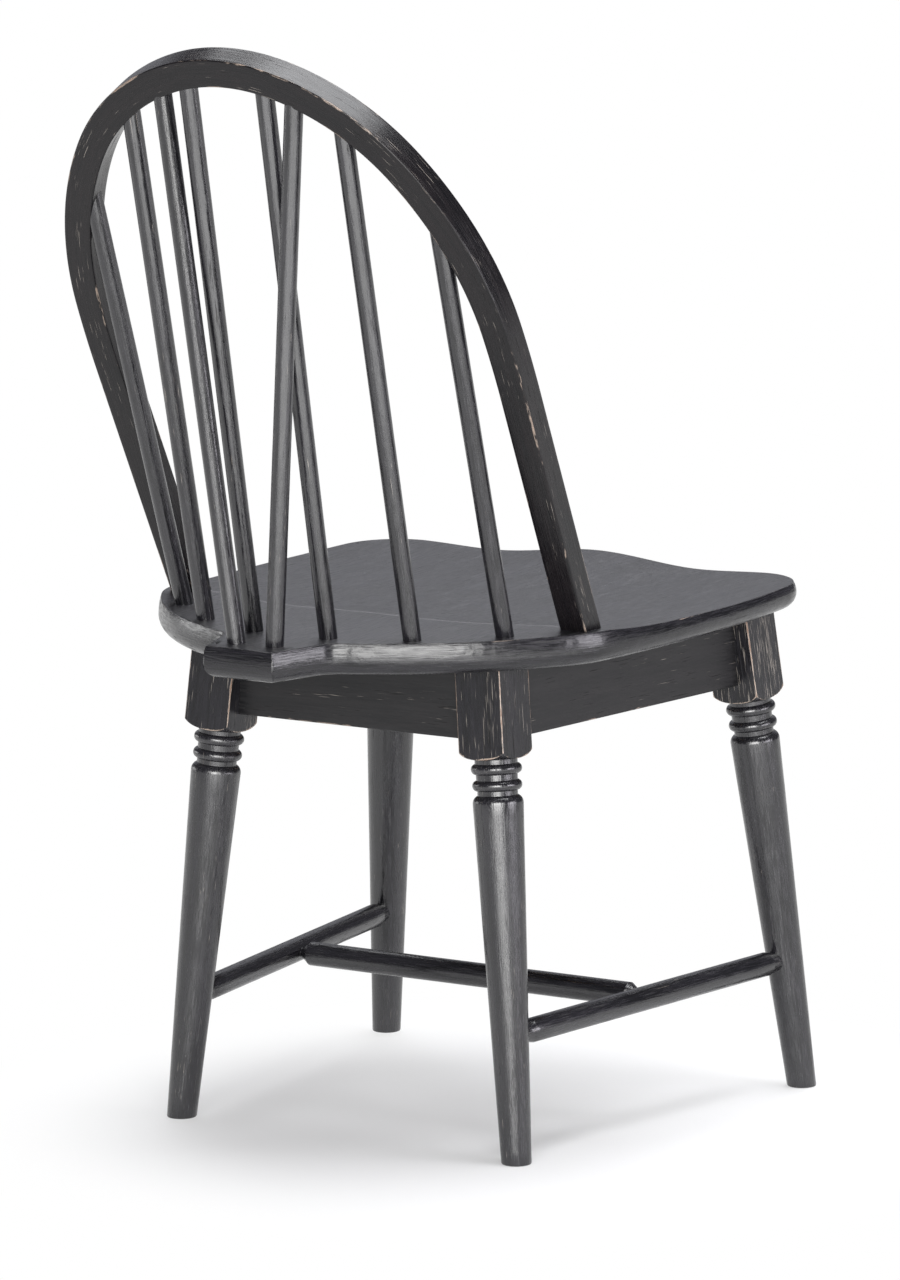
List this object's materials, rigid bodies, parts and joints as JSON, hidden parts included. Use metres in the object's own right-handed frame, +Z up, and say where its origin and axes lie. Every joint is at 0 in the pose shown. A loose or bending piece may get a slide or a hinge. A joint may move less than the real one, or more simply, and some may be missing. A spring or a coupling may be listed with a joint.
{
  "type": "windsor chair",
  "caption": "Bow-back windsor side chair in black open-grain wood, with a saddled seat, brace tail, fanned spindles and turned legs tied by aprons and stretchers.",
  "frame": {"origin": "centre of the chair's footprint on the floor", "axes": "+Z up, -Y the way the sitter faces, +X to the right of a viewer who looks along +Y"},
  "size_m": [0.4834, 0.5874, 0.9584],
  "materials": {
    "black_wood": "satin",
    "bare_wood": "matte",
    "screw_steel": "satin"
  },
  "bodies": {
    "root": {"seat": "black_wood", "bow": "black_wood", "right_spindle_inner": "black_wood", "left_spindle_inner": "black_wood", "right_spindle_middle": "black_wood", "left_spindle_middle": "black_wood", "right_spindle_outer": "black_wood", "left_spindle_outer": "black_wood", "right_spindle_brace": "black_wood", "left_spindle_brace": "black_wood", "back_right_leg": "black_wood", "back_left_leg": "black_wood", "front_right_leg": "black_wood", "front_left_leg": "black_wood", "back_apron": "black_wood", "front_apron": "black_wood", "right_apron": "black_wood", "left_apron": "black_wood", "right_stretcher": "black_wood", "left_stretcher": "black_wood", "medial_stretcher": "black_wood", "corner_block_back_right": "bare_wood", "corner_block_back_left": "bare_wood", "corner_block_front_right": "bare_wood", "corner_block_front_left": "bare_wood", "apron_dowels": "bare_wood", "corner_block_screws": "screw_steel", "seat_screws": "screw_steel"}
  },
  "joints": []
}
